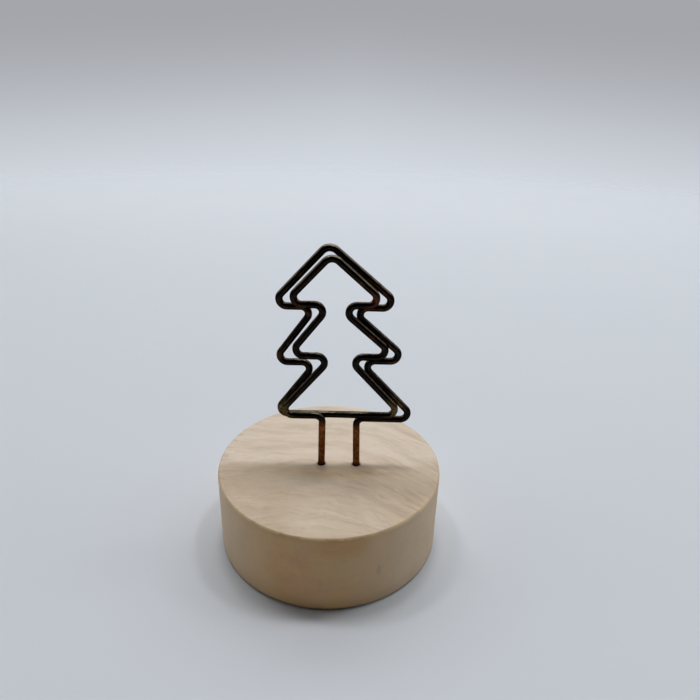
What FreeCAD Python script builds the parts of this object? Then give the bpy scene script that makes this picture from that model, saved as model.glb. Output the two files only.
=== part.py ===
import FreeCAD, Part
import math
import os

import Sketcher
from FreeCAD import Vector

# Tree-shaped wire photo clip on a round wooden base
#
# One length of stiff wire is bent twice round the outline of a fir tree, like a paper clip, and its
# two ends stand in a wooden disc. It starts as the left leg, makes the smaller turn in front, crosses
# to the back along the bar under the tree, makes the larger turn there and ends as the right leg.
# A photo slides down between the two turns.
# Millimetres, +Z up, the tree faces -Y, and the origin is the middle of the disc's underside.

# Sizes of the disc and its holes

BASE_SIZES = {
    "base_diameter": 40.0,
    "base_height": 15.0,
    "rim_chamfer": 0.4,
    "foot_chamfer": 0.3,
    "hole_depth": 9.0,
    "hole_clearance": 0.15,
    "hole_end_room": 0.6,
    "drill_tip_angle": 118.0,
    "glue_recess": 0.3,
}

# Sizes of the wire, its bends, its legs and where it stands

WIRE_SIZES = {
    "wire_diameter": 1.2,
    "slot_gap": 0.3,
    "bend_radius": 1.25,
    "apex_bend_radius": 1.6,
    "crossing_bend_radius": 3.0,
    "tree_offset_right": 1.7,
    "tree_offset_front": 0.6,
    "tree_lean": 2.0,
    "leg_spacing_top": 5.9,
    "leg_spacing_foot": 6.3,
    "left_stub_length": 2.2,
}

# Outline of each turn: heights above the disc, and reaches to each side of the tree's leaning middle.
# A corner is the tip of a tier, and a notch is where its underside meets the slope below.

OUTLINE_SIZES = {
    "rear_apex_height": 40.4,
    "rear_apex_shift": 0.0,
    "rear_left_top_height": 30.0,
    "rear_left_top_corner": 10.1,
    "rear_left_top_notch": 2.6,
    "rear_left_middle_height": 20.0,
    "rear_left_middle_corner": 10.3,
    "rear_left_middle_notch": 3.0,
    "rear_left_bottom_height": 9.9,
    "rear_left_bottom_corner": 11.0,
    "rear_right_top_height": 30.0,
    "rear_right_top_corner": 11.5,
    "rear_right_top_notch": 2.6,
    "rear_right_middle_height": 20.5,
    "rear_right_middle_corner": 12.6,
    "rear_right_middle_notch": 4.0,
    "rear_right_bottom_height": 9.2,
    "rear_right_bottom_corner": 13.9,
    "front_apex_height": 39.1,
    "front_apex_shift": 0.4,
    "front_left_top_height": 30.9,
    "front_left_top_corner": 7.6,
    "front_left_top_notch": 0.1,
    "front_left_middle_height": 21.9,
    "front_left_middle_corner": 7.5,
    "front_left_middle_notch": 0.1,
    "front_left_bottom_height": 10.5,
    "front_left_bottom_corner": 10.2,
    "front_right_top_height": 30.9,
    "front_right_top_corner": 9.1,
    "front_right_top_notch": 0.8,
    "front_right_middle_height": 21.9,
    "front_right_middle_corner": 10.4,
    "front_right_middle_notch": 2.1,
    "front_right_bottom_height": 10.8,
    "front_right_bottom_corner": 11.5,
}

# Places along the bar, as shares of the legs' spacing from the middle between them, right positive
CROSSING_START_SHARE = 0.42
CROSSING_END_SHARE = -0.16
BAR_CUT_SHARE = -0.3

# Most of a run that a bend may take, between two bends and beside a free end
BEND_RUN_SHARE = 0.45
END_RUN_SHARE = 0.9

SIDE_SIGNS = {"left": -1, "right": 1}

doc = FreeCAD.newDocument("PhotoTreeStand")


def make_sheet():
    """Spreadsheet with one row and one alias for each driving size."""
    new_sheet = doc.addObject("Spreadsheet::Sheet", "Sizes")
    sizes = {**BASE_SIZES, **WIRE_SIZES, **OUTLINE_SIZES}
    for row, (name, value) in enumerate(sizes.items(), start=1):
        new_sheet.set(f"A{row}", name)
        new_sheet.set(f"B{row}", str(value))
        new_sheet.setAlias(f"B{row}", name)
    doc.recompute()
    return new_sheet


sheet = make_sheet()


def size(name):
    """A driving size, read from the spreadsheet."""
    return float(sheet.get(name))


# Wooden disc


def origin_plane(body, role):
    """One of a body's own origin planes."""
    return next(plane for plane in body.Origin.OriginFeatures if plane.Role == role)


def sketch_on_floor_plane(body, name):
    """Sketch in the body's horizontal plane."""
    sketch = body.newObject("Sketcher::SketchObject", name)
    sketch.AttachmentSupport = (origin_plane(body, "XY_Plane"), [""])
    sketch.MapMode = "FlatFace"
    return sketch


def add_sized_constraint(sketch, kind, elements, value, expression):
    """Dimension in a sketch, bound to the spreadsheet."""
    row = sketch.addConstraint(Sketcher.Constraint(kind, *elements, value))
    sketch.setExpression(f"Constraints[{row}]", expression)


def round_edge_at(shape, height):
    """Name of the round edge that lies level at a height."""
    def distance(numbered_edge):
        box = numbered_edge[1].BoundBox
        return abs(box.ZMin - height) + box.ZLength
    number, edge = min(enumerate(shape.Edges, start=1), key=distance)
    return f"Edge{number}"


def add_chamfer(body, base, height, name):
    """Broken edge round the disc, at its top or its foot."""
    chamfer = body.newObject("PartDesign::Chamfer", name)
    chamfer.Base = (base, [round_edge_at(base.Shape, height)])
    chamfer.setExpression("Size", f"Sizes.{name}")
    doc.recompute()
    return chamfer


def make_base():
    """Turned wooden disc with two drilled blind holes for the legs."""
    body = doc.addObject("PartDesign::Body", "wood_base")

    outline = sketch_on_floor_plane(body, "disc_outline")
    outline.addGeometry(Part.Circle(Vector(), Vector(0, 0, 1), size("base_diameter") / 2))
    outline.addConstraint(Sketcher.Constraint("Coincident", 0, 3, -1, 1))
    add_sized_constraint(outline, "Diameter", [0], size("base_diameter"), "Sizes.base_diameter")

    disc = body.newObject("PartDesign::Pad", "disc")
    disc.Profile = outline
    disc.setExpression("Length", "Sizes.base_height")
    doc.recompute()
    rim = add_chamfer(body, disc, size("base_height"), "rim_chamfer")
    foot = add_chamfer(body, rim, 0, "foot_chamfer")
    uncut_volume = foot.Shape.Volume

    places = sketch_on_floor_plane(body, "hole_places")
    places.setExpression("AttachmentOffset.Base.z", "Sizes.base_height")
    hole_diameter = size("wire_diameter") + 2 * size("hole_clearance")
    y = -size("tree_offset_front")
    for index, (side, sign) in enumerate(SIDE_SIGNS.items()):
        x = foot_x(side)
        places.addGeometry(Part.Circle(Vector(x, y, 0), Vector(0, 0, 1), hole_diameter / 2))
        centre = [-1, 1, index, 3]
        diameter = "Sizes.wire_diameter + 2 * Sizes.hole_clearance"
        add_sized_constraint(places, "Diameter", [index], hole_diameter, diameter)
        add_sized_constraint(places, "DistanceX", centre, x, foot_x_expression(sign))
        add_sized_constraint(places, "DistanceY", centre, y, "-Sizes.tree_offset_front")
    doc.recompute()

    holes = body.newObject("PartDesign::Hole", "leg_holes")
    holes.Profile = places
    holes.DepthType = "Dimension"
    holes.DrillPoint = "Angled"
    holes.setExpression("Diameter", "Sizes.wire_diameter + 2 * Sizes.hole_clearance")
    holes.setExpression("Depth", "Sizes.hole_depth")
    holes.setExpression("DrillPointAngle", "Sizes.drill_tip_angle")
    body.Tip = holes
    doc.recompute()
    if not body.Shape.Volume < uncut_volume:
        raise RuntimeError("The drilled holes take nothing from the disc")
    return body


# Bent wire


def foot_x(side):
    """Sideways place of a leg's foot in its hole."""
    return size("tree_offset_right") + SIDE_SIGNS[side] * size("leg_spacing_foot") / 2


def foot_x_expression(sign):
    """The same place, for binding to the spreadsheet."""
    return f"Sizes.tree_offset_right + {sign} * Sizes.leg_spacing_foot / 2"


def middle_x(height):
    """Sideways place of the tree's leaning middle at a height above the disc."""
    return size("tree_offset_right") - size("tree_lean") * height / size("rear_apex_height")


def turn_y(turn):
    """Depth of the upright plane in which one turn's centre line lies."""
    half_step = (size("wire_diameter") + size("slot_gap")) / 2
    return -size("tree_offset_front") + (half_step if turn == "rear" else -half_step)


def wire_point(x, turn, height):
    """Point of a turn's centre line, at a height above the disc."""
    return Vector(x, turn_y(turn), size("base_height") + height)


def outline_point(turn, side, tier, spot):
    """Corner or notch of one tier, where two straight runs would meet if they weren't bent."""
    height = size(f"{turn}_{side}_{tier}_height")
    reach = size(f"{turn}_{side}_{tier}_{spot}")
    return wire_point(middle_x(height) + SIDE_SIGNS[side] * reach, turn, height)


def side_points(turn, side):
    """One side of a turn's outline, from its bottom corner up to its top tier's tip."""
    points = [outline_point(turn, side, "bottom", "corner")]
    for tier in ("middle", "top"):
        points.append(outline_point(turn, side, tier, "notch"))
        points.append(outline_point(turn, side, tier, "corner"))
    return points


def turn_points(turn):
    """Corners of a whole turn: up its left side, over its apex and down its right side."""
    height = size(f"{turn}_apex_height")
    apex = wire_point(middle_x(height) + size(f"{turn}_apex_shift"), turn, height)
    return side_points(turn, "left") + [apex] + side_points(turn, "right")[::-1]


def leg_points(turn, side):
    """A leg, from its end in the hole to its top bend in its turn's plane."""
    surface = size("base_height")
    foot = Vector(foot_x(side), -size("tree_offset_front"), surface)
    end = foot - Vector(0, 0, size("hole_depth") - size("hole_end_room"))
    top_x = size("tree_offset_right") + SIDE_SIGNS[side] * size("leg_spacing_top") / 2
    return [end, foot, wire_point(top_x, turn, size(f"{turn}_{side}_bottom_height"))]


def bar_point(turn, side, share):
    """Point of the bar under the tree, level with the bottom of one side of a turn."""
    x = size("tree_offset_right") + share * size("leg_spacing_top")
    return wire_point(x, turn, size(f"{turn}_{side}_bottom_height"))


def left_run_cut():
    """Place on the run beside the left leg where the front turn bends freely."""
    top = leg_points("front", "left")[-1]
    return top - Vector(size("left_stub_length"), 0, 0)


def bar_cut():
    """Place on the bar, just behind the left leg, where the front turn bends freely."""
    return bar_point("rear", "left", BAR_CUT_SHARE)


def bent_path(name, points, radii):
    """Centre line of the wire: straight runs joined by tangent arcs, one at each inner point.

    The wire crosses from one upright plane to the other, so its path is made of edges in space.
    """
    edges = []
    start = points[0]
    last = len(points) - 1
    for index in range(1, last):
        corner = points[index]
        back = points[index - 1] - corner
        ahead = points[index + 1] - corner
        slope = math.tan(back.getAngle(ahead) / 2)
        back_share = END_RUN_SHARE if index == 1 else BEND_RUN_SHARE
        ahead_share = END_RUN_SHARE if index == last - 1 else BEND_RUN_SHARE
        room = min(back.Length * back_share, ahead.Length * ahead_share)
        trim = min(radii[index - 1] / slope, room)
        radius = trim * slope
        back.normalize()
        ahead.normalize()
        inward = (back + ahead).normalize()
        crown = math.hypot(trim, radius) - radius
        arc_end = corner + ahead * trim
        edges.append(Part.LineSegment(start, corner + back * trim).toShape())
        edges.append(Part.Arc(corner + back * trim, corner + inward * crown, arc_end).toShape())
        start = arc_end
    edges.append(Part.LineSegment(start, points[last]).toShape())
    path = doc.addObject("Part::Feature", f"{name}_path")
    path.Shape = Part.Wire(edges)
    return path


def make_wire(name, points, radii):
    """Round wire swept along its bent centre line."""
    path = bent_path(name, points, radii)
    section = doc.addObject("Part::Circle", f"{name}_section")
    section.setExpression("Radius", "Sizes.wire_diameter / 2")
    facing = FreeCAD.Rotation(Vector(0, 0, 1), points[1] - points[0])
    section.Placement = FreeCAD.Placement(points[0], facing)
    wire = doc.addObject("Part::Sweep", name)
    wire.Sections = [section]
    wire.Spine = (path, [])
    wire.Solid = True
    doc.recompute()
    return wire


def turn_radii(corners):
    """Bend radius of each corner of a turn. The apex, half way round, is bent more gently."""
    radii = [size("bend_radius")] * len(corners)
    radii[len(corners) // 2] = size("apex_bend_radius")
    return radii


def make_left_leg():
    """Left leg, its top bend and the start of the run to the left."""
    points = leg_points("front", "left") + [left_run_cut()]
    return make_wire("left_leg", points, [size("bend_radius")] * 2)


def make_front_loop():
    """Smaller turn in front, with the bar as far as its crossing to the back."""
    corners = turn_points("front")
    crossing = [
        bar_point("front", "right", CROSSING_START_SHARE),
        bar_point("rear", "left", CROSSING_END_SHARE),
    ]
    radii = turn_radii(corners) + [size("crossing_bend_radius")] * 2
    return make_wire("front_tree_loop", [left_run_cut()] + corners + crossing + [bar_cut()], radii)


def make_rear_loop():
    """Larger turn behind, with the left half of the bar and the right leg."""
    corners = turn_points("rear")
    leg_down = leg_points("rear", "right")[::-1]
    radii = turn_radii(corners) + [size("bend_radius")] * 2
    return make_wire("rear_tree_loop", [bar_cut()] + corners + leg_down, radii)


# Glue


def make_glue(side):
    """Sleeve of glue that fills a hole round the wire, to just under the disc's top."""
    sign = SIDE_SIGNS[side]
    filling = doc.addObject("Part::Cylinder", f"{side}_filling")
    filling.setExpression("Radius", "Sizes.wire_diameter / 2 + Sizes.hole_clearance")
    filling.setExpression("Height", "Sizes.hole_depth - Sizes.glue_recess")
    filling.setExpression("Placement.Base.z", "Sizes.base_height - Sizes.hole_depth")
    leg_room = doc.addObject("Part::Cylinder", f"{side}_leg_room")
    leg_room.setExpression("Radius", "Sizes.wire_diameter / 2")
    leg_room.setExpression("Height", "Sizes.hole_depth - Sizes.hole_end_room")
    foot_height = "Sizes.base_height - Sizes.hole_depth + Sizes.hole_end_room"
    leg_room.setExpression("Placement.Base.z", foot_height)
    for cylinder in (filling, leg_room):
        cylinder.setExpression("Placement.Base.x", foot_x_expression(sign))
        cylinder.setExpression("Placement.Base.y", "-Sizes.tree_offset_front")
    glue = doc.addObject("Part::Cut", f"{side}_hole_glue")
    glue.Base = filling
    glue.Tool = leg_room
    return glue


def check_objects():
    """Every object of the document must have been worked out without a fault."""
    for item in doc.Objects:
        if "Invalid" in item.State or "Error" in item.State:
            raise RuntimeError(f"{item.Name} failed: {item.State}")


def write_parts(pieces):
    """One STEP file for each piece."""
    os.makedirs("parts", exist_ok=True)
    for piece in pieces:
        piece.Label = piece.Name
        if piece.Shape.isNull() or not piece.Shape.isValid():
            raise RuntimeError(f"{piece.Label} has no valid shape")
        piece.Shape.exportStep(f"parts/{piece.Label}.step")
        print(f"{piece.Label}: {piece.Shape.Volume:.2f} mm3")


pieces = [make_base(), make_left_leg(), make_front_loop(), make_rear_loop()]
pieces += [make_glue(side) for side in SIDE_SIGNS]
doc.recompute()
check_objects()
write_parts(pieces)
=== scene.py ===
"""Looks of the photo tree stand: a wire fir tree that holds a photo, in a round wooden base.

Blender 4.5. Lengths are in metres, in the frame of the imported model: X right, Y to the back, Z up,
with the origin in the middle of the base's underside. Names that end in _MM are in millimetres, and
so is every length in the shader trees, whose scales are per millimetre.
"""
import math
from types import SimpleNamespace

import bmesh
import bpy
from mathutils import Matrix, Vector, noise


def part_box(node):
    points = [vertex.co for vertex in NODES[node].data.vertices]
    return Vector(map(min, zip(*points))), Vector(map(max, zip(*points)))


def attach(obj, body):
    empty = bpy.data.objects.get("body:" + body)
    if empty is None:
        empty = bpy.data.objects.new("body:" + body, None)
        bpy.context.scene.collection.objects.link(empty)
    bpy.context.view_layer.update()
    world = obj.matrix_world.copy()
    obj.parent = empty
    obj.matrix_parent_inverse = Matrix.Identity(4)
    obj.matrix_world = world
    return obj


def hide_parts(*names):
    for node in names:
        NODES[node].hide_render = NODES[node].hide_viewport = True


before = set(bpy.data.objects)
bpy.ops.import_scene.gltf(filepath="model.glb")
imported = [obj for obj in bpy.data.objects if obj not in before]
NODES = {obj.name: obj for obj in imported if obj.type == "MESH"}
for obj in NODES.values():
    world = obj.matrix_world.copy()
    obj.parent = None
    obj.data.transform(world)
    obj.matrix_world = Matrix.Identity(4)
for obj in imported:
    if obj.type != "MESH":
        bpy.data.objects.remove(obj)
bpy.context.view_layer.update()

MM = 0.001
WIRE_NODES = ("left_leg", "front_tree_loop", "rear_tree_loop")
GLUE_NODES = ("left_hole_glue", "right_hole_glue")

BASE_LOW, BASE_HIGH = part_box("wood_base")
BASE_RADIUS = (BASE_HIGH.x - BASE_LOW.x) / 2
BASE_HEIGHT = BASE_HIGH.z - BASE_LOW.z
RADIUS_MM = BASE_RADIUS / MM
HEIGHT_MM = BASE_HEIGHT / MM
BAR_UNDERSIDE_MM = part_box("front_tree_loop")[0].z / MM

GLUE_LOW, GLUE_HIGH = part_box("left_hole_glue")
HOLE_RADIUS = (GLUE_HIGH.x - GLUE_LOW.x) / 2
HOLE_DEPTH = BASE_HEIGHT - GLUE_LOW.z


def foot_of(glue_node):
    """The point where a leg enters the top of the base, on the axis of the glue round it."""
    low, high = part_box(glue_node)
    return Vector(((low.x + high.x) / 2, (low.y + high.y) / 2, BASE_HEIGHT))


FEET = [foot_of(glue_node) for glue_node in GLUE_NODES]


# Helpers for the shader trees and meshes

def colour(red, green, blue):
    return (red, green, blue, 1.0)


class Tree:
    """A material's node tree, with short calls for the nodes that this script uses."""

    def __init__(self, name):
        self.material = bpy.data.materials.new(name)
        self.material.use_nodes = True
        self.nodes = self.material.node_tree.nodes
        self.links = self.material.node_tree.links
        self.nodes.clear()
        self.output = self.nodes.new("ShaderNodeOutputMaterial")
        self.shader = self.nodes.new("ShaderNodeBsdfPrincipled")
        self.links.new(self.shader.outputs["BSDF"], self.output.inputs["Surface"])

    def feed(self, socket, value):
        """Links an output to the socket, or sets the socket to a plain value."""
        if isinstance(value, bpy.types.NodeSocket):
            self.links.new(value, socket)
        else:
            socket.default_value = value

    def set_shader(self, **values):
        """Feeds the shader's inputs, named with _ for each space."""
        for name, value in values.items():
            self.feed(self.shader.inputs[name.replace("_", " ")], value)

    def math(self, operation, first, second=0.0):
        node = self.nodes.new("ShaderNodeMath")
        node.operation = operation
        self.feed(node.inputs[0], first)
        self.feed(node.inputs[1], second)
        return node.outputs[0]

    def plus(self, total, *others):
        for other in others:
            total = self.math("ADD", total, other)
        return total

    def times(self, product, *others):
        for other in others:
            product = self.math("MULTIPLY", product, other)
        return product

    def swing(self, value, reach):
        """A noise value, moved to lie round 0 and stretched to the reach."""
        return self.times(self.math("SUBTRACT", value, 0.5), reach)

    def vector(self, operation, first, second=(0.0, 0.0, 0.0)):
        node = self.nodes.new("ShaderNodeVectorMath")
        node.operation = operation
        self.feed(node.inputs[0], first)
        self.feed(node.inputs[1], second)
        length_out = operation in ("LENGTH", "DISTANCE")
        return node.outputs["Value" if length_out else "Vector"]

    def coordinates(self, name):
        return self.nodes.new("ShaderNodeTexCoord").outputs[name]

    def place_mm(self):
        """The point on the piece in millimetres, in the piece's own frame."""
        per_metre = 1.0 / MM
        return self.vector("MULTIPLY", self.coordinates("Object"), (per_metre, per_metre, per_metre))

    def parts_of(self, vector):
        node = self.nodes.new("ShaderNodeSeparateXYZ")
        self.feed(node.inputs[0], vector)
        return node.outputs["X"], node.outputs["Y"], node.outputs["Z"]

    def joined(self, x, y, z):
        node = self.nodes.new("ShaderNodeCombineXYZ")
        for socket, value in zip(node.inputs, (x, y, z)):
            self.feed(socket, value)
        return node.outputs[0]

    def noise(self, vector, scale, detail=3.0, roughness=0.5):
        node = self.nodes.new("ShaderNodeTexNoise")
        self.feed(node.inputs["Vector"], vector)
        node.inputs["Scale"].default_value = scale
        node.inputs["Detail"].default_value = detail
        node.inputs["Roughness"].default_value = roughness
        return node.outputs["Fac"]

    def step(self, value, low, high, start=0.0, end=1.0):
        """A smooth step of value from start at low to end at high."""
        node = self.nodes.new("ShaderNodeMapRange")
        node.interpolation_type = "SMOOTHSTEP"
        self.feed(node.inputs["Value"], value)
        node.inputs["From Min"].default_value = low
        node.inputs["From Max"].default_value = high
        node.inputs["To Min"].default_value = start
        node.inputs["To Max"].default_value = end
        return node.outputs["Result"]

    def spot(self, place, centre_mm, inner_mm, outer_mm):
        """1 within inner_mm of a point, fading to 0 at outer_mm."""
        gap = self.vector("DISTANCE", place, centre_mm)
        return self.step(gap, inner_mm, outer_mm, 1.0, 0.0)

    def mix(self, share, first, second):
        node = self.nodes.new("ShaderNodeMix")
        node.data_type = "RGBA"
        self.feed(node.inputs["Factor"], share)
        self.feed(node.inputs["A"], first)
        self.feed(node.inputs["B"], second)
        return node.outputs["Result"]

    def tint(self, tone, where, strength, new_tone):
        """The tone, taken towards new_tone by the strength where the mask is 1."""
        return self.mix(self.times(where, strength), tone, new_tone)

    def bump(self, height, strength, distance_mm, before=None):
        node = self.nodes.new("ShaderNodeBump")
        node.inputs["Strength"].default_value = strength
        node.inputs["Distance"].default_value = distance_mm * MM
        self.feed(node.inputs["Height"], height)
        if before is not None:
            self.links.new(before, node.inputs["Normal"])
        return node.outputs["Normal"]


def linked_object(name, work):
    """An object in the scene, made from a bmesh, which is freed."""
    mesh = bpy.data.meshes.new(name)
    work.to_mesh(mesh)
    work.free()
    piece = bpy.data.objects.new(name, mesh)
    bpy.context.scene.collection.objects.link(piece)
    return piece


# Wood of the base: tones of the top

TAN_WOOD = colour(0.690, 0.550, 0.400)
PALE_WOOD = colour(0.855, 0.728, 0.598)
HONEY_STREAK_AND_SHADOW = colour(0.715, 0.470, 0.215)
DULL_STREAK = colour(0.540, 0.410, 0.270)
SANDED_FRONT = colour(0.850, 0.715, 0.570)
SOFT_STREAK = colour(0.655, 0.510, 0.360)
ROSY_PATCH = colour(0.840, 0.670, 0.550)
LATE_WOOD = colour(0.500, 0.350, 0.215)
RIGHT_LINE = colour(0.480, 0.345, 0.225)
GRAIN_END = colour(0.440, 0.310, 0.200)
DARK_FIBRE = colour(0.500, 0.365, 0.240)
LIGHT_FIBRE = colour(0.900, 0.800, 0.670)
FINE_FIBRE = colour(0.900, 0.800, 0.660)
FUZZ_TONE = colour(0.540, 0.400, 0.280)
PORE_TONE = colour(0.380, 0.260, 0.160)
HOLE_MOUTH_SHADE = colour(0.150, 0.085, 0.045)

# Tones of the turned side and of the rim, some of them painted light, shade and highlight

SIDE_MIDDLE_WARM_LIGHT = colour(0.775, 0.485, 0.210)
SIDE_ENDS_COOL_LIGHT = colour(0.745, 0.570, 0.385)
SIDE_BLOTCH = colour(0.690, 0.470, 0.275)
SIDE_RING = colour(0.450, 0.290, 0.170)
SIDE_FIBRE = colour(0.860, 0.660, 0.440)
RED_KNOT = colour(0.710, 0.350, 0.180)
LOW_ROSE = colour(0.800, 0.430, 0.290)
AMBER = colour(0.715, 0.375, 0.130)
SPECK = colour(0.280, 0.155, 0.070)
FAINT_SPECK = colour(0.400, 0.200, 0.080)
FOOT_SHADE = colour(0.190, 0.145, 0.090)
RIM_WEAR_AND_HIGHLIGHT = colour(0.880, 0.670, 0.375)


def on_side(across_mm, up_mm):
    """A point on the front half of the base's side, this far to the right and up."""
    return (across_mm, -math.sqrt(RADIUS_MM ** 2 - across_mm ** 2), up_mm)


def wood_grain(tree):
    """The wood's masks and noises. The grain runs left to right and turns down over the right half."""
    place = tree.place_mm()
    x, y, z = tree.parts_of(place)

    # Distance across the grain: it bends over the right half and sways in long and short waves
    turn = tree.math("MAXIMUM", tree.plus(x, 1.0), 0.0)
    bend = tree.times(turn, turn, 0.030)
    long_waves = tree.noise(tree.joined(tree.times(x, 0.45), y, z), 0.10, 2.0)
    short_waves = tree.noise(tree.joined(tree.times(x, 0.7), y, z), 0.42, 2.0)
    sway = tree.swing(long_waves, 7.0)
    ripple = tree.swing(short_waves, 1.25)
    across = tree.plus(y, bend, sway, ripple)

    def along_grain(shrink, scale, detail, roughness=0.5):
        """Noise that is drawn out along the grain, by 1 over the shrink."""
        return tree.noise(tree.joined(tree.times(x, shrink), across, z), scale, detail, roughness)

    # The year rings, as uneven tubes along X about a pith far below, clear in some places only
    pith_back_mm, pith_depth_mm, ring_width_mm = -9.0, 22.0, 2.9
    from_pith = tree.joined(0.0, tree.plus(across, -pith_back_mm), tree.plus(z, pith_depth_mm))
    ring_radius = tree.vector("LENGTH", from_pith)
    uneven = tree.noise(tree.joined(ring_radius, 0.0, 0.0), 0.23, 2.0)
    ring_count = tree.plus(tree.math("DIVIDE", ring_radius, ring_width_mm), tree.times(uneven, 2.4))
    phase = tree.math("FRACT", ring_count)
    clear_here = tree.step(tree.noise(place, 0.17, 2.0), 0.42, 0.62, 0.15, 1.0)
    slow_rise, sharp_end = tree.step(phase, 0.30, 0.88), tree.step(phase, 0.90, 1.0, 1.0, 0.0)
    late_wood = tree.times(slow_rise, sharp_end, clear_here)

    return SimpleNamespace(
        place=place, x=x, y=y, z=z, ripple=ripple, across=across, late_wood=late_wood,
        radius=tree.vector("LENGTH", tree.joined(x, y, 0.0)),
        calm_back=tree.step(y, -3.0, 4.0, 1.0, 0.44),
        fibres=along_grain(0.18, 1.10, 4.0, 0.60),
        fine_fibres=along_grain(0.24, 3.6, 3.0, 0.62),
        pores=tree.step(along_grain(0.20, 2.1, 2.0), 0.65, 0.76),
        streaks=along_grain(0.22, 0.36, 3.0, 0.55),
        right_lines=along_grain(0.13, 0.62, 2.0),
        grain_ends=along_grain(0.30, 1.0, 3.0, 0.6),
        patches=tree.noise(tree.joined(tree.times(x, 0.6), y, z), 0.15, 3.0, 0.6),
        fuzz=tree.noise(tree.joined(tree.times(x, 0.55), y, z), 1.5, 5.0, 0.72))


def top_tone(tree, grain):
    """Paler and rosier at the back and darker tan in front, the two meeting along the grain."""
    x, y, across = grain.x, grain.y, grain.across
    left_share = tree.step(x, -9.0, 3.0, 1.0, 0.0)
    right_share = tree.math("SUBTRACT", 1.0, left_share)
    sharp_meeting = tree.times(tree.step(across, -2.6, 0.6), left_share)
    broad_meeting = tree.times(tree.step(y, -9.0, 4.0), right_share)
    tone = tree.mix(tree.plus(sharp_meeting, broad_meeting), TAN_WOOD, PALE_WOOD)

    # Two streaks in front of the legs, a sanded patch at the front edge, and soft patches all over
    waved_y = tree.plus(y, tree.times(grain.ripple, 0.7))
    streak_place = tree.joined(tree.times(x, 0.20), waved_y, 0.0)
    # Painted shadow of the wire tree, laid on a honey streak of the grain
    tone = tree.tint(tone, tree.spot(streak_place, (0.6, -3.0, 0.0), 1.0, 3.0), 0.50, HONEY_STREAK_AND_SHADOW)
    tone = tree.tint(tone, tree.spot(streak_place, (-2.8, -2.3, 0.0), 0.5, 2.3), 0.54, DULL_STREAK)
    sanded = tree.spot(grain.place, (2.0, -17.0, HEIGHT_MM), 3.0, 13.0)
    tone = tree.tint(tone, sanded, 0.75, SANDED_FRONT)
    tone = tree.tint(tone, tree.step(grain.streaks, 0.40, 0.70), 0.55, SOFT_STREAK)
    tone = tree.tint(tone, tree.step(grain.patches, 0.48, 0.70), 0.40, ROSY_PATCH)

    # Year rings, dark lines at the right in front, and short dark grain ends at both sides
    tone = tree.tint(tone, tree.times(grain.late_wood, grain.calm_back), 0.38, LATE_WOOD)
    right_front = tree.times(tree.step(x, 3.0, 13.0), tree.step(y, 3.0, -2.0))
    right_lines = tree.times(tree.step(grain.right_lines, 0.52, 0.62), right_front)
    tone = tree.tint(tone, right_lines, 0.39, RIGHT_LINE)
    far_sideways = tree.step(tree.math("ABSOLUTE", x), 12.0, 17.0)
    near_edge = tree.step(grain.radius, RADIUS_MM - 4.5, RADIUS_MM - 1.0)
    grain_ends = tree.times(tree.step(grain.grain_ends, 0.52, 0.64), near_edge, far_sideways)
    tone = tree.tint(tone, grain_ends, 0.30, GRAIN_END)

    # Fibres, fuzz and pores
    dark_fibres = tree.times(tree.step(grain.fibres, 0.48, 0.70), grain.calm_back)
    light_fibres = tree.times(tree.step(grain.fibres, 0.26, 0.46, 1.0, 0.0), grain.calm_back)
    tone = tree.tint(tone, dark_fibres, 0.34, DARK_FIBRE)
    tone = tree.tint(tone, light_fibres, 0.24, LIGHT_FIBRE)
    tone = tree.tint(tone, tree.step(grain.fine_fibres, 0.52, 0.72), 0.11, FINE_FIBRE)
    tone = tree.tint(tone, tree.step(grain.fuzz, 0.50, 0.70), 0.17, FUZZ_TONE)
    return tree.tint(tone, grain.pores, 0.24, PORE_TONE)


def side_tone(tree, grain):
    """The turned side is smooth and richer in colour, with reddish patches and two small specks."""
    x, y, z, place = grain.x, grain.y, grain.z, grain.place
    # Partly painted light over the wood's own tone: warm light on the front middle, cool light on the
    # ends and back
    from_middle = tree.math("ABSOLUTE", tree.plus(x, 2.0))
    plain = tree.math("MAXIMUM", tree.step(from_middle, 4.0, 17.0), tree.step(y, -9.0, 0.0))
    tone = tree.mix(plain, SIDE_MIDDLE_WARM_LIGHT, SIDE_ENDS_COOL_LIGHT)
    blotches = tree.noise(tree.joined(x, y, tree.times(z, 0.45)), 0.13, 3.0, 0.6)
    tone = tree.tint(tone, tree.step(blotches, 0.42, 0.66), 0.45, SIDE_BLOTCH)

    def stretched_spot(centre_mm, stretch, inner_mm, outer_mm):
        """A spot whose width and height are divided by the stretch along each axis."""
        centre = tuple(part * factor for part, factor in zip(centre_mm, stretch))
        return tree.spot(tree.vector("MULTIPLY", place, stretch), centre, inner_mm, outer_mm)

    mottled = tree.step(tree.noise(place, 0.33, 3.0, 0.6), 0.44, 0.62, 0.25, 1.0)
    red_knot = stretched_spot(on_side(-5.4, 8.2), (1.3, 1.0, 0.8), 0.8, 7.5)
    tone = tree.tint(tone, tree.times(red_knot, mottled), 0.70, RED_KNOT)
    low_rose = tree.spot(place, on_side(-3.0, 3.6), 0.6, 5.0)
    tone = tree.tint(tone, tree.times(low_rose, mottled), 0.55, LOW_ROSE)
    amber = stretched_spot(on_side(2.9, 13.4), (0.55, 1.0, 1.0), 0.8, 3.6)
    tone = tree.tint(tone, amber, 0.72, AMBER)
    tone = tree.tint(tone, grain.late_wood, 0.06, SIDE_RING)
    tone = tree.tint(tone, tree.step(grain.fine_fibres, 0.45, 0.72), 0.14, SIDE_FIBRE)

    upright = (1.0, 1.0, 0.42)
    tone = tree.tint(tone, stretched_spot(on_side(8.73, 7.1), upright, 0.05, 0.66), 0.30, SPECK)
    tone = tree.tint(tone, stretched_spot(on_side(-0.63, 5.6), upright, 0.10, 0.80), 0.12, FAINT_SPECK)
    # Painted shade along the foot of the side, where it meets the floor
    return tree.tint(tone, tree.step(z, 0.20, 0.75, 1.0, 0.0), 0.55, FOOT_SHADE)


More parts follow.
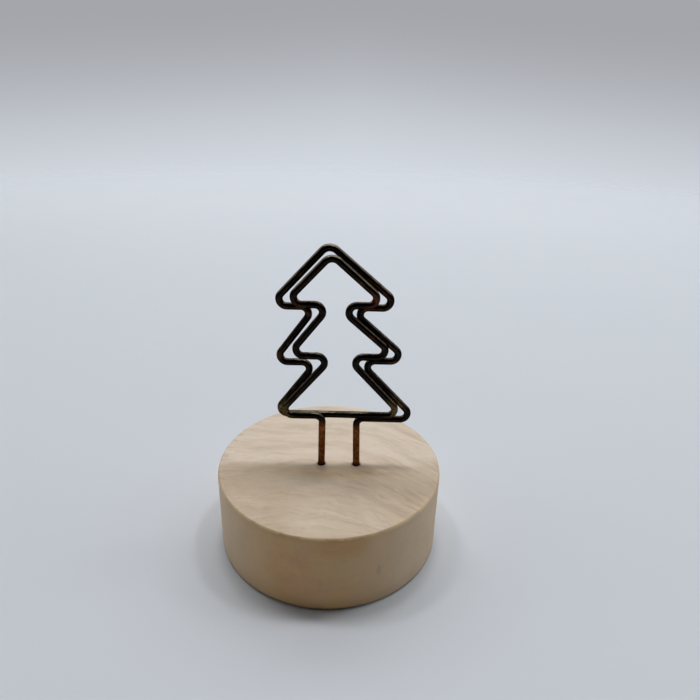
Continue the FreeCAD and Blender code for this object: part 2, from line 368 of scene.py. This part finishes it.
def wood_material():
    """Pale sanded softwood, with the rim lightened by wear and a painted highlight, most in front, and
    painted shade round the mouth of each hole.
    """
    tree = Tree("pale_wood")
    grain = wood_grain(tree)
    on_turned_side = tree.step(grain.radius, RADIUS_MM - 0.40, RADIUS_MM - 0.16)
    tone = tree.tint(top_tone(tree, grain), on_turned_side, 0.94, side_tone(tree, grain))

    # The rim: partly wear, partly a painted highlight on the rounded edge, strongest in front and faint
    # behind
    near_top = tree.step(grain.z, HEIGHT_MM - 0.60, HEIGHT_MM - 0.30)
    at_edge = tree.step(grain.radius, RADIUS_MM - 0.55, RADIUS_MM - 0.28)
    edge_breaks = tree.step(tree.noise(grain.place, 0.40, 3.0, 0.65), 0.36, 0.58)
    less_behind = tree.step(grain.y, -15.0, -4.0, 1.0, 0.15)
    rim = tree.times(at_edge, near_top, edge_breaks, less_behind)
    tone = tree.tint(tone, rim, 0.66, RIM_WEAR_AND_HIGHLIGHT)
    hole_mm = HOLE_RADIUS / MM
    # Painted shade round the mouth of each hole
    for foot in FEET:
        hole_shade = tree.spot(grain.place, tuple(foot / MM), hole_mm, hole_mm + 0.20)
        tone = tree.tint(tone, hole_shade, 0.55, HOLE_MOUTH_SHADE)

    relief = tree.plus(grain.fibres, tree.times(grain.fine_fibres, 0.6), tree.times(grain.pores, -0.35))
    relief = tree.times(relief, tree.step(on_turned_side, 0.0, 1.0, 1.0, 0.25))
    fuzz_relief = tree.times(grain.fuzz, tree.step(on_turned_side, 0.0, 1.0, 1.0, 0.3))
    normal = tree.bump(relief, 0.38, 0.12)
    normal = tree.bump(fuzz_relief, 0.34, 0.08, normal)
    rough = tree.plus(tree.times(grain.fibres, 0.22), 0.52)
    tree.set_shader(Base_Color=tone, Roughness=rough, Normal=normal, Specular_IOR_Level=0.30,
                    Sheen_Weight=0.04, Sheen_Roughness=0.6)
    return tree.material


# Metal of the wire

BLACK_PLATING = colour(0.0090, 0.0070, 0.0060)
BRONZE = colour(0.031, 0.023, 0.017)
BROWN = colour(0.140, 0.054, 0.019)
COPPER = colour(0.290, 0.115, 0.037)
RED_BROWN = colour(0.190, 0.060, 0.030)
GOLD_GLINT = colour(0.230, 0.165, 0.070)
GOLD_HIGHLIGHT = colour(0.285, 0.240, 0.175)
DRAWN_LINE = colour(0.040, 0.017, 0.008)
LEG_FOOT_SHADE = colour(0.030, 0.015, 0.010)
EDGE_SHINE = colour(0.30, 0.27, 0.24)

# Three corners and their tones: red-brown where the plating is worn through, and gold at the two low
# ones, a painted highlight
WORN_AND_GLINTING_CORNERS_MM = (
    ((7.4, -1.6, 46.8), RED_BROWN),
    ((-8.0, -1.0, 26.4), GOLD_GLINT),
    ((11.0, -1.3, 27.4), GOLD_GLINT),
)
TOP_TIER_MM = (42.0, 49.5)
LOW_LEFT_CORNER_END_MM = (-5.0, -3.0)


def wire_material():
    """Dark antique copper plating on steel wire: near black on the tree, worn brown on the legs."""
    tree = Tree("antique_copper_wire")
    place = tree.place_mm()
    x, y, z = tree.parts_of(place)
    mottle = tree.noise(place, 0.95, 4.0, 0.65)
    fine_mottle = tree.noise(place, 3.6, 4.0, 0.6)
    patches = tree.noise(place, 0.26, 2.0, 0.5)
    drawn = tree.noise(tree.joined(tree.times(x, 3.0), tree.times(y, 3.0), z), 2.4, 3.0)

    tone = tree.mix(tree.step(fine_mottle, 0.42, 0.72), BLACK_PLATING, BRONZE)
    above_bar = tree.step(z, BAR_UNDERSIDE_MM + 1.3, BAR_UNDERSIDE_MM + 3.3)
    worn = tree.times(tree.step(patches, 0.52, 0.64), tree.step(mottle, 0.42, 0.60), above_bar)
    tone = tree.tint(tone, worn, 0.50, BROWN)
    speckle = tree.step(fine_mottle, 0.40, 0.60, 0.25, 1.0)
    # Worn red-brown at the top corner, painted gold highlight at the two low corners
    for corner_mm, corner_tone in WORN_AND_GLINTING_CORNERS_MM:
        corner_mark = tree.times(tree.spot(place, corner_mm, 0.4, 3.0), speckle)
        tone = tree.tint(tone, corner_mark, 0.55, corner_tone)

    # Painted highlight: the upper side of every run is tinted a dull gold, most on the top tier
    sideways, _, upward = tree.parts_of(tree.coordinates("Normal"))
    outward = tree.times(tree.math("ABSOLUTE", sideways), 0.25)
    upper_side = tree.step(tree.plus(upward, outward), 0.48, 0.98)
    upper_side = tree.times(upper_side, tree.step(z, *TOP_TIER_MM, 0.42, 1.0))
    painted_highlight = tree.times(upper_side, tree.step(mottle, 0.34, 0.62, 0.55, 1.0))
    tone = tree.tint(tone, painted_highlight, 0.90, GOLD_HIGHLIGHT)

    # The legs are worn to brown and copper, up to a ragged line that lies lower on the right
    leg_height = tree.plus(z, tree.times(x, 0.27), tree.times(mottle, 1.2))
    below_bar = tree.step(leg_height, BAR_UNDERSIDE_MM - 0.8, BAR_UNDERSIDE_MM + 1.0, 1.0, 0.0)
    leg = tree.times(below_bar, tree.step(x, *LOW_LEFT_CORNER_END_MM))
    leg_tone = tree.mix(tree.step(mottle, 0.38, 0.62), BROWN, COPPER)
    leg_tone = tree.tint(leg_tone, tree.step(drawn, 0.46, 0.66), 0.80, DRAWN_LINE)
    tone = tree.tint(tone, leg, 0.92, leg_tone)
    # Painted shade on each leg just above where it enters the base
    at_foot = tree.step(z, HEIGHT_MM, HEIGHT_MM + 0.7, 1.0, 0.0)
    tone = tree.tint(tone, at_foot, 0.8, LEG_FOOT_SHADE)

    rough = tree.plus(0.13, tree.times(mottle, 0.22), tree.times(upper_side, 0.10), tree.times(leg, 0.16))
    normal = tree.bump(mottle, 0.10, 0.04)
    normal = tree.bump(drawn, 0.08, 0.015, normal)
    tree.set_shader(Base_Color=tone, Roughness=rough, Normal=normal, Metallic=1.0,
                    Specular_Tint=EDGE_SHINE)
    return tree.material


# Glue in the holes

DARK_AMBER = colour(0.060, 0.030, 0.014)
LIGHT_AMBER = colour(0.170, 0.085, 0.035)


def glue_material():
    """Clear amber glue, set hard, darkened by the plating."""
    tree = Tree("amber_glue")
    clouds = tree.noise(tree.place_mm(), 2.2, 3.0, 0.6)
    tone = tree.mix(clouds, DARK_AMBER, LIGHT_AMBER)
    rough = tree.step(clouds, 0.3, 0.7, 0.12, 0.34)
    tree.set_shader(Base_Color=tone, Roughness=rough, Normal=tree.bump(clouds, 0.4, 0.08),
                    Coat_Weight=0.5, Coat_Roughness=0.08)
    return tree.material


# Floor

FLOOR_SHADE = colour(0.735, 0.780, 0.845)
FLOOR_LIGHT = colour(0.755, 0.795, 0.855)
FLOOR_FADE_MM = (240.0, 560.0)
FLOOR_RINGS = (0.05, 0.1, 0.2, 0.35, 0.5, 0.7)
FLOOR_SEGMENTS = 96


def floor_material():
    """Cool white board with a faint tooth, which fades into the studio's haze away from the object."""
    tree = Tree("white_board")
    place = tree.place_mm()
    x, y, _ = tree.parts_of(place)
    clouds = tree.noise(place, 0.012, 2.0, 0.5)
    tooth = tree.noise(place, 1.6, 3.0, 0.6)
    tone = tree.mix(clouds, FLOOR_SHADE, FLOOR_LIGHT)
    rough = tree.step(tooth, 0.3, 0.7, 0.55, 0.68)
    tree.set_shader(Base_Color=tone, Roughness=rough, Normal=tree.bump(tooth, 0.08, 0.03),
                    Specular_IOR_Level=0.3)
    clear = tree.nodes.new("ShaderNodeBsdfTransparent")
    fade = tree.nodes.new("ShaderNodeMixShader")
    away = tree.vector("LENGTH", tree.joined(x, y, 0.0))
    tree.links.new(tree.step(away, *FLOOR_FADE_MM), fade.inputs[0])
    tree.links.new(tree.shader.outputs[0], fade.inputs[1])
    tree.links.new(clear.outputs[0], fade.inputs[2])
    tree.links.new(fade.outputs[0], tree.output.inputs["Surface"])
    return tree.material


def make_stage(material):
    """A round board under the object, wide enough for its edge to be lost in the haze."""
    work = bmesh.new()
    middle = work.verts.new((0.0, 0.0, 0.0))
    rows = []
    for radius in FLOOR_RINGS:
        row = []
        for index in range(FLOOR_SEGMENTS):
            angle = 2 * math.pi * index / FLOOR_SEGMENTS
            row.append(work.verts.new((radius * math.cos(angle), radius * math.sin(angle), 0.0)))
        rows.append(row)
    for index in range(FLOOR_SEGMENTS):
        after = (index + 1) % FLOOR_SEGMENTS
        work.faces.new((middle, rows[0][index], rows[0][after]))
        for low, high in zip(rows, rows[1:]):
            work.faces.new((low[index], high[index], high[after], low[after]))
    floor = linked_object("studio_floor", work)
    floor.data.materials.append(material)


# Shape of the wooden base

RING_COUNT = 720
RIM_ROUND = 0.36 * MM
RIM_PARTS = 5
FOOT_CHAMFER = 0.30 * MM
TOP_RING_STEP = 0.33 * MM
SIDE_STEP = 0.45 * MM
UNDERSIDE_SHARES = (0.0, 0.35, 0.7)
SMOOTH_UP_TO = math.radians(50)
CUTTER_SEGMENTS = 48
CUTTER_SPARE = 0.5 * MM

# Its wear: half the depth of the waves, how deep the nicks go, and how far in from the edge it reaches

SIDE_WAVE = 0.05 * MM
SIDE_WEAR_REACH = 0.9 * MM
TOP_WAVE = 0.022 * MM
TOP_WITHIN = 0.01 * MM
RIM_WAVE_INWARD = 0.12 * MM
RIM_WAVE_DOWN = 0.08 * MM
RIM_WEAR_REACH = 0.8 * MM
NICK_INWARD = 0.22 * MM
NICK_DOWN = 0.14 * MM
NICK_FROM = 0.18
LEAST_TORN = 0.30
TORN_ANGLE = math.radians(218)
SIDE_NOISE_START = Vector((7.0, 3.0, 1.0))
NICK_NOISE_START = Vector((31.0, 5.0, 9.0))


def base_profile():
    """(radius, height) from the middle of the underside, round the side, to the middle of the top."""
    points = [(BASE_RADIUS * share, 0.0) for share in UNDERSIDE_SHARES]
    points.append((BASE_RADIUS - FOOT_CHAMFER, 0.0))
    points.append((BASE_RADIUS, FOOT_CHAMFER))
    side_top = BASE_HEIGHT - RIM_ROUND
    side_rows = round((side_top - FOOT_CHAMFER) / SIDE_STEP)
    for row in range(1, side_rows + 1):
        points.append((BASE_RADIUS, FOOT_CHAMFER + (side_top - FOOT_CHAMFER) * row / side_rows))
    for part in range(1, RIM_PARTS + 1):
        angle = math.pi / 2 * part / RIM_PARTS
        out = RIM_ROUND * (1 - math.cos(angle))
        points.append((BASE_RADIUS - out, side_top + RIM_ROUND * math.sin(angle)))
    top_edge = BASE_RADIUS - RIM_ROUND
    top_rows = round(top_edge / TOP_RING_STEP)
    for row in range(top_rows - 1, -1, -1):
        points.append((top_edge * row / top_rows, BASE_HEIGHT))
    return points


def rim_wear(angle):
    """How far the rim is worn inward and down at an angle round it, most at TORN_ANGLE."""
    around = Vector((RADIUS_MM * math.cos(angle), RADIUS_MM * math.sin(angle), 4.0))
    ragged = noise.noise(around * 0.85) * 0.55 + noise.noise(around * 2.3) * 0.45
    nick = max(0.0, noise.noise(around * 0.9 + NICK_NOISE_START) - NICK_FROM)
    torn = LEAST_TORN + (1.0 - LEAST_TORN) * max(0.0, math.cos(angle - TORN_ANGLE)) ** 3
    inward = torn * (RIM_WAVE_INWARD * (1.0 + ragged) + NICK_INWARD * nick)
    lower = torn * (RIM_WAVE_DOWN * (1.0 + ragged) + NICK_DOWN * nick)
    return inward, lower


def worn_point(radius, height, angle):
    """A point of the base, worked a little: worn rim, slow waves on the side and fine ones on the top."""
    x, y = radius * math.cos(angle), radius * math.sin(angle)
    spot = Vector((x, y, height)) / MM
    inward = 0.0
    lower = 0.0
    side_share = max(0.0, min(1.0, (radius - (BASE_RADIUS - SIDE_WEAR_REACH)) / SIDE_WEAR_REACH))
    if side_share > 0:
        slow = noise.noise(spot * 0.11 + SIDE_NOISE_START)
        inward += side_share * SIDE_WAVE * (1.0 + slow)
    rim_gap = abs(height - BASE_HEIGHT) + max(0.0, BASE_RADIUS - RIM_ROUND - radius)
    rim_share = max(0.0, 1.0 - rim_gap / RIM_WEAR_REACH)
    if rim_share > 0:
        rim_inward, rim_lower = rim_wear(angle)
        inward += rim_share * rim_inward
        lower += rim_share * rim_lower
    if height > BASE_HEIGHT - TOP_WITHIN:
        grain_spot = Vector((spot.x * 0.10, spot.y * 0.9, 2.0))
        lower += TOP_WAVE * (1.0 + noise.noise(grain_spot))
    scale = max(0.0, radius - inward) / radius if radius > 0 else 0.0
    return Vector((x * scale, y * scale, height - lower))


def lathe(name, profile):
    """A closed mesh turned about Z, with its ends on the axis."""
    work = bmesh.new()
    rows = []
    for radius, height in profile:
        if radius == 0.0:
            rows.append([work.verts.new(worn_point(0.0, height, 0.0))])
            continue
        row = []
        for index in range(RING_COUNT):
            row.append(work.verts.new(worn_point(radius, height, 2 * math.pi * index / RING_COUNT)))
        rows.append(row)
    for low, high in zip(rows, rows[1:]):
        for index in range(RING_COUNT):
            after = (index + 1) % RING_COUNT
            if len(low) == 1:
                work.faces.new((low[0], high[after], high[index]))
            elif len(high) == 1:
                work.faces.new((low[index], low[after], high[0]))
            else:
                work.faces.new((low[index], low[after], high[after], high[index]))
    bmesh.ops.recalc_face_normals(work, faces=work.faces)
    return linked_object(name, work)


def drill(piece, feet):
    """Cuts a round hole under each foot, down to the depth of the drilled hole."""
    cutters = []
    for foot in feet:
        work = bmesh.new()
        middle = foot - Vector((0, 0, HOLE_DEPTH / 2 - CUTTER_SPARE))
        bmesh.ops.create_cone(work, cap_ends=True, segments=CUTTER_SEGMENTS, radius1=HOLE_RADIUS,
                              radius2=HOLE_RADIUS, depth=HOLE_DEPTH + 2 * CUTTER_SPARE,
                              matrix=Matrix.Translation(middle))
        cutter = linked_object("cutter", work)
        cutters.append(cutter)
        cut = piece.modifiers.new("hole", "BOOLEAN")
        cut.operation = "DIFFERENCE"
        cut.solver = "EXACT"
        cut.object = cutter
    bpy.context.view_layer.update()
    graph = bpy.context.evaluated_depsgraph_get()
    drilled = bpy.data.meshes.new_from_object(piece.evaluated_get(graph))
    piece.modifiers.clear()
    piece.data = drilled
    for cutter in cutters:
        bpy.data.objects.remove(cutter)


def make_base(material):
    base = lathe("wooden_base", base_profile())
    drill(base, FEET)
    base.data.materials.clear()
    base.data.materials.append(material)
    for face in base.data.polygons:
        face.use_smooth = True
    base.data.set_sharp_from_angle(angle=SMOOTH_UP_TO)
    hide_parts("wood_base")
    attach(base, "stand")


def dress(node_names, material):
    """Gives CAD nodes their material. Their shape and place stay as packed."""
    for node_name in node_names:
        node = NODES[node_name]
        node.data.materials.clear()
        node.data.materials.append(material)


# Light

NEUTRAL = (1.0, 1.0, 1.0)
COOL = (0.95, 1.0, 1.04)
AT_OBJECT = (0.0, 0.0, 0.02)
FLOOR_BEHIND = (0.0, 0.52, 0.0)
FLOOR_IN_FRONT = (0.0, -0.60, 0.0)
CEILING_LAMP_SIZE = 0.08
FAR_LAMP_SIZE = 0.12


def area_light(name, place, target, width, height, power, tint=NEUTRAL, spread_degrees=180):
    """A rectangular lamp of a size in metres and a power in watts, facing the target."""
    data = bpy.data.lights.new(name, "AREA")
    data.shape = "RECTANGLE"
    data.size = width
    data.size_y = height
    data.energy = power
    data.color = tint
    data.spread = math.radians(spread_degrees)
    lamp = bpy.data.objects.new(name, data)
    lamp.location = place
    direction = Vector(target) - Vector(place)
    lamp.rotation_euler = direction.to_track_quat("-Z", "Y").to_euler()
    bpy.context.scene.collection.objects.link(lamp)


def make_lights():
    """Soft light from above, behind and both sides, on the floor too, and four small ceiling lamps.

    The ceiling lamps give the glints on the wire and the faint shadows on the floor in front.
    """
    area_light("back_softbox", (0.0, 0.40, 0.98), AT_OBJECT, 1.2, 0.55, 1.45)
    area_light("far_floor_softbox", (0.0, 0.50, 0.58), FLOOR_BEHIND, 1.3, 0.3, 2.02)
    area_light("far_floor_glow", (0.0, 0.50, 0.60), FLOOR_BEHIND, 1.3, 0.3, 0.40, spread_degrees=75)
    area_light("near_floor_softbox", (0.0, -0.60, 0.60), FLOOR_IN_FRONT, 1.3, 0.3, 1.5, spread_degrees=80)
    area_light("left_softbox", (-0.8, 0.1, 0.4), AT_OBJECT, 0.5, 0.5, 1.00)
    area_light("right_softbox", (0.8, 0.1, 0.4), AT_OBJECT, 0.5, 0.5, 0.97, COOL)
    ceiling_lamps = (
        ("left", (-0.2, 0.12, 0.65), CEILING_LAMP_SIZE, 0.46),
        ("middle", (0.0, 0.10, 0.65), CEILING_LAMP_SIZE, 0.48),
        ("right", (0.2, 0.09, 0.65), CEILING_LAMP_SIZE, 0.56),
        ("far_right", (0.4, 0.11, 0.55), FAR_LAMP_SIZE, 0.30),
    )
    for name, place, size, power in ceiling_lamps:
        area_light("ceiling_lamp_" + name, place, AT_OBJECT, size, size, power)


# Haze round the board

HAZE_LOW = colour(0.655, 0.695, 0.755)
HAZE_HIGH = colour(0.375, 0.380, 0.410)
GLOW_TONE = colour(0.95, 0.98, 1.0)
HAZE_RISE = 0.07
HAZE_HEIGHTS = (-0.17, 0.10)


def make_world():
    """Pale haze round the board, darker upwards. As light, it is only a low glow from behind."""
    world = bpy.data.worlds.new("studio")
    world.use_nodes = True
    nodes, links = world.node_tree.nodes, world.node_tree.links
    nodes.clear()

    def ramp(value, low, high, start, end):
        node = nodes.new("ShaderNodeMapRange")
        node.interpolation_type = "SMOOTHSTEP"
        links.new(value, node.inputs["Value"])
        for socket, setting in zip(("From Min", "From Max", "To Min", "To Max"), (low, high, start, end)):
            node.inputs[socket].default_value = setting
        return node.outputs["Result"]

    parts = nodes.new("ShaderNodeSeparateXYZ")
    links.new(nodes.new("ShaderNodeTexCoord").outputs["Generated"], parts.inputs[0])

    # Height, counted a little higher towards both sides
    sideways = nodes.new("ShaderNodeMath")
    sideways.operation = "ABSOLUTE"
    links.new(parts.outputs["X"], sideways.inputs[0])
    height = nodes.new("ShaderNodeMath")
    height.operation = "MULTIPLY_ADD"
    links.new(sideways.outputs[0], height.inputs[0])
    height.inputs[1].default_value = HAZE_RISE
    links.new(parts.outputs["Z"], height.inputs[2])

    haze_tone = nodes.new("ShaderNodeMix")
    haze_tone.data_type = "RGBA"
    links.new(ramp(height.outputs[0], *HAZE_HEIGHTS, 0.0, 1.0), haze_tone.inputs["Factor"])
    haze_tone.inputs["A"].default_value = HAZE_LOW
    haze_tone.inputs["B"].default_value = HAZE_HIGH
    haze = nodes.new("ShaderNodeBackground")
    links.new(haze_tone.outputs["Result"], haze.inputs["Color"])

    glow = nodes.new("ShaderNodeBackground")
    glow.inputs["Color"].default_value = GLOW_TONE
    from_behind = ramp(parts.outputs["Y"], 0.25, 0.95, 0.008, 0.50)
    low_down = ramp(parts.outputs["Z"], 0.20, 0.60, 1.0, 0.02)
    strength = nodes.new("ShaderNodeMath")
    strength.operation = "MULTIPLY"
    links.new(from_behind, strength.inputs[0])
    links.new(low_down, strength.inputs[1])
    links.new(strength.outputs[0], glow.inputs["Strength"])

    rays = nodes.new("ShaderNodeLightPath")
    mix = nodes.new("ShaderNodeMixShader")
    output = nodes.new("ShaderNodeOutputWorld")
    links.new(rays.outputs["Is Camera Ray"], mix.inputs[0])
    links.new(glow.outputs[0], mix.inputs[1])
    links.new(haze.outputs[0], mix.inputs[2])
    links.new(mix.outputs[0], output.inputs["Surface"])
    bpy.context.scene.world = world


# Camera, with its angles in radians

FOCAL_PX = 590.0
IMAGE_PX = 700.0
SENSOR_MM = 36.0
CAMERA_PLACE = (3.27 * MM, -88.52 * MM, 79.36 * MM)
CAMERA_PITCH = 0.4418
CAMERA_ROLL = 0.02299
NEAREST_SEEN = 0.001
FURTHEST_SEEN = 20.0


def make_camera():
    """The photograph's camera: 25 degrees down, a little tilted, close to the object."""
    forward = Vector((0.0, math.cos(CAMERA_PITCH), -math.sin(CAMERA_PITCH)))
    level_up = Vector((0.0, math.sin(CAMERA_PITCH), math.cos(CAMERA_PITCH)))
    level_right = Vector((1.0, 0.0, 0.0))
    right = level_right * math.cos(CAMERA_ROLL) + level_up * math.sin(CAMERA_ROLL)
    up = level_up * math.cos(CAMERA_ROLL) - level_right * math.sin(CAMERA_ROLL)
    data = bpy.data.cameras.new("photo_camera")
    data.sensor_width = SENSOR_MM
    data.lens = FOCAL_PX * SENSOR_MM / IMAGE_PX
    data.clip_start = NEAREST_SEEN
    data.clip_end = FURTHEST_SEEN
    data.dof.use_dof = False
    camera = bpy.data.objects.new("photo_camera", data)
    axes = Matrix((right, up, -forward)).transposed().to_4x4()
    camera.matrix_world = Matrix.Translation(CAMERA_PLACE) @ axes
    bpy.context.scene.collection.objects.link(camera)
    bpy.context.scene.camera = camera


make_base(wood_material())
dress(WIRE_NODES, wire_material())
dress(GLUE_NODES, glue_material())
make_stage(floor_material())
make_lights()
make_world()
make_camera()
bpy.context.scene.view_settings.view_transform = "Standard"
